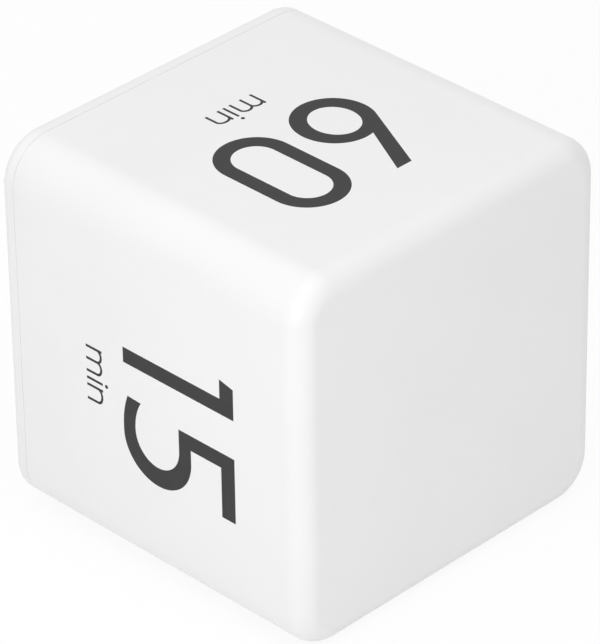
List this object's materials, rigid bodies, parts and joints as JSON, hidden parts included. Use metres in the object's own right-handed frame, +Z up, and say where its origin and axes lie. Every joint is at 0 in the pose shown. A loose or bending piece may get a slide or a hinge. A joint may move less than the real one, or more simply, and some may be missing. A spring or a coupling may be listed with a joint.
{
  "type": "digital timer",
  "caption": "Cube-shaped countdown timer that starts when the face with the wanted minutes is turned up; display, switch and battery door at the back.",
  "frame": {"origin": "centre of the face that the timer stands on, at the middle of the box round the whole object", "axes": "+Z up through the 60-minute face, -Y out of the blank front face, +Y out of the rear cover, -X out of the 15-minute face"},
  "size_m": [0.0636, 0.062, 0.0635],
  "materials": {
    "white_case": "satin moulded ABS",
    "clear_window": "clear polished acrylic",
    "lcd_glass": "two-layer liquid crystal glass with a grey-green ground",
    "zebra_rubber": "striped conductive elastomer",
    "green_laminate": "glass-fibre board under green solder mask",
    "steel": "zinc-plated",
    "nickel": "bright nickel plate",
    "black_nylon": "matt moulded nylon",
    "epoxy": "glossy cured epoxy",
    "capacitor_sleeve": "shrunk dark blue sleeve",
    "chip_ceramic": "fired brown ceramic",
    "cell_wrap": "plain printed wrap over a metal can",
    "red_pvc": "red soft insulation",
    "black_pvc": "black soft insulation"
  },
  "bodies": {
    "case": {"housing": "white_case", "rear_cover": "white_case", "display_window": "clear_window", "lcd_glass": "lcd_glass", "zebra_connector": "zebra_rubber", "main_board": "green_laminate", "board_screw_1": "steel", "board_screw_2": "steel", "board_screw_3": "steel", "board_screw_4": "steel", "switch_frame": "steel", "buzzer": "black_nylon", "sensor_cup": "black_nylon", "sensor_base": "black_nylon", "controller_blob": "epoxy", "crystal": "steel", "capacitor": "capacitor_sleeve", "chip_1": "chip_ceramic", "chip_2": "chip_ceramic", "chip_3": "chip_ceramic", "cell_upper": "cell_wrap", "cell_lower": "cell_wrap", "bridge_contact": "nickel", "positive_contact": "nickel", "negative_contact": "nickel", "spring_upper": "nickel", "spring_lower": "nickel", "red_lead": "red_pvc", "black_lead": "black_pvc"},
    "door": {"battery_door": "white_case"},
    "slider": {"switch_knob": "white_case", "switch_lever": "black_nylon"},
    "ball": {"sensor_ball": "steel"}
  },
  "joints": [
    {"name": "door_hinge", "type": "hinge", "parent": "case", "child": "door", "pos_m": [0, 0.031, 0.0296], "axis": [1, 0, 0], "range_deg": [0, 60]},
    {"name": "switch_slide", "type": "slide", "parent": "case", "child": "slider", "axis": [1, 0, 0], "range_m": [0, 0.0025]},
    {"name": "ball_roll", "type": "hinge", "parent": "case", "child": "ball", "pos_m": [0.004, 0.0174, 0.0436], "axis": [0, 1, 0], "continuous": true}
  ]
}
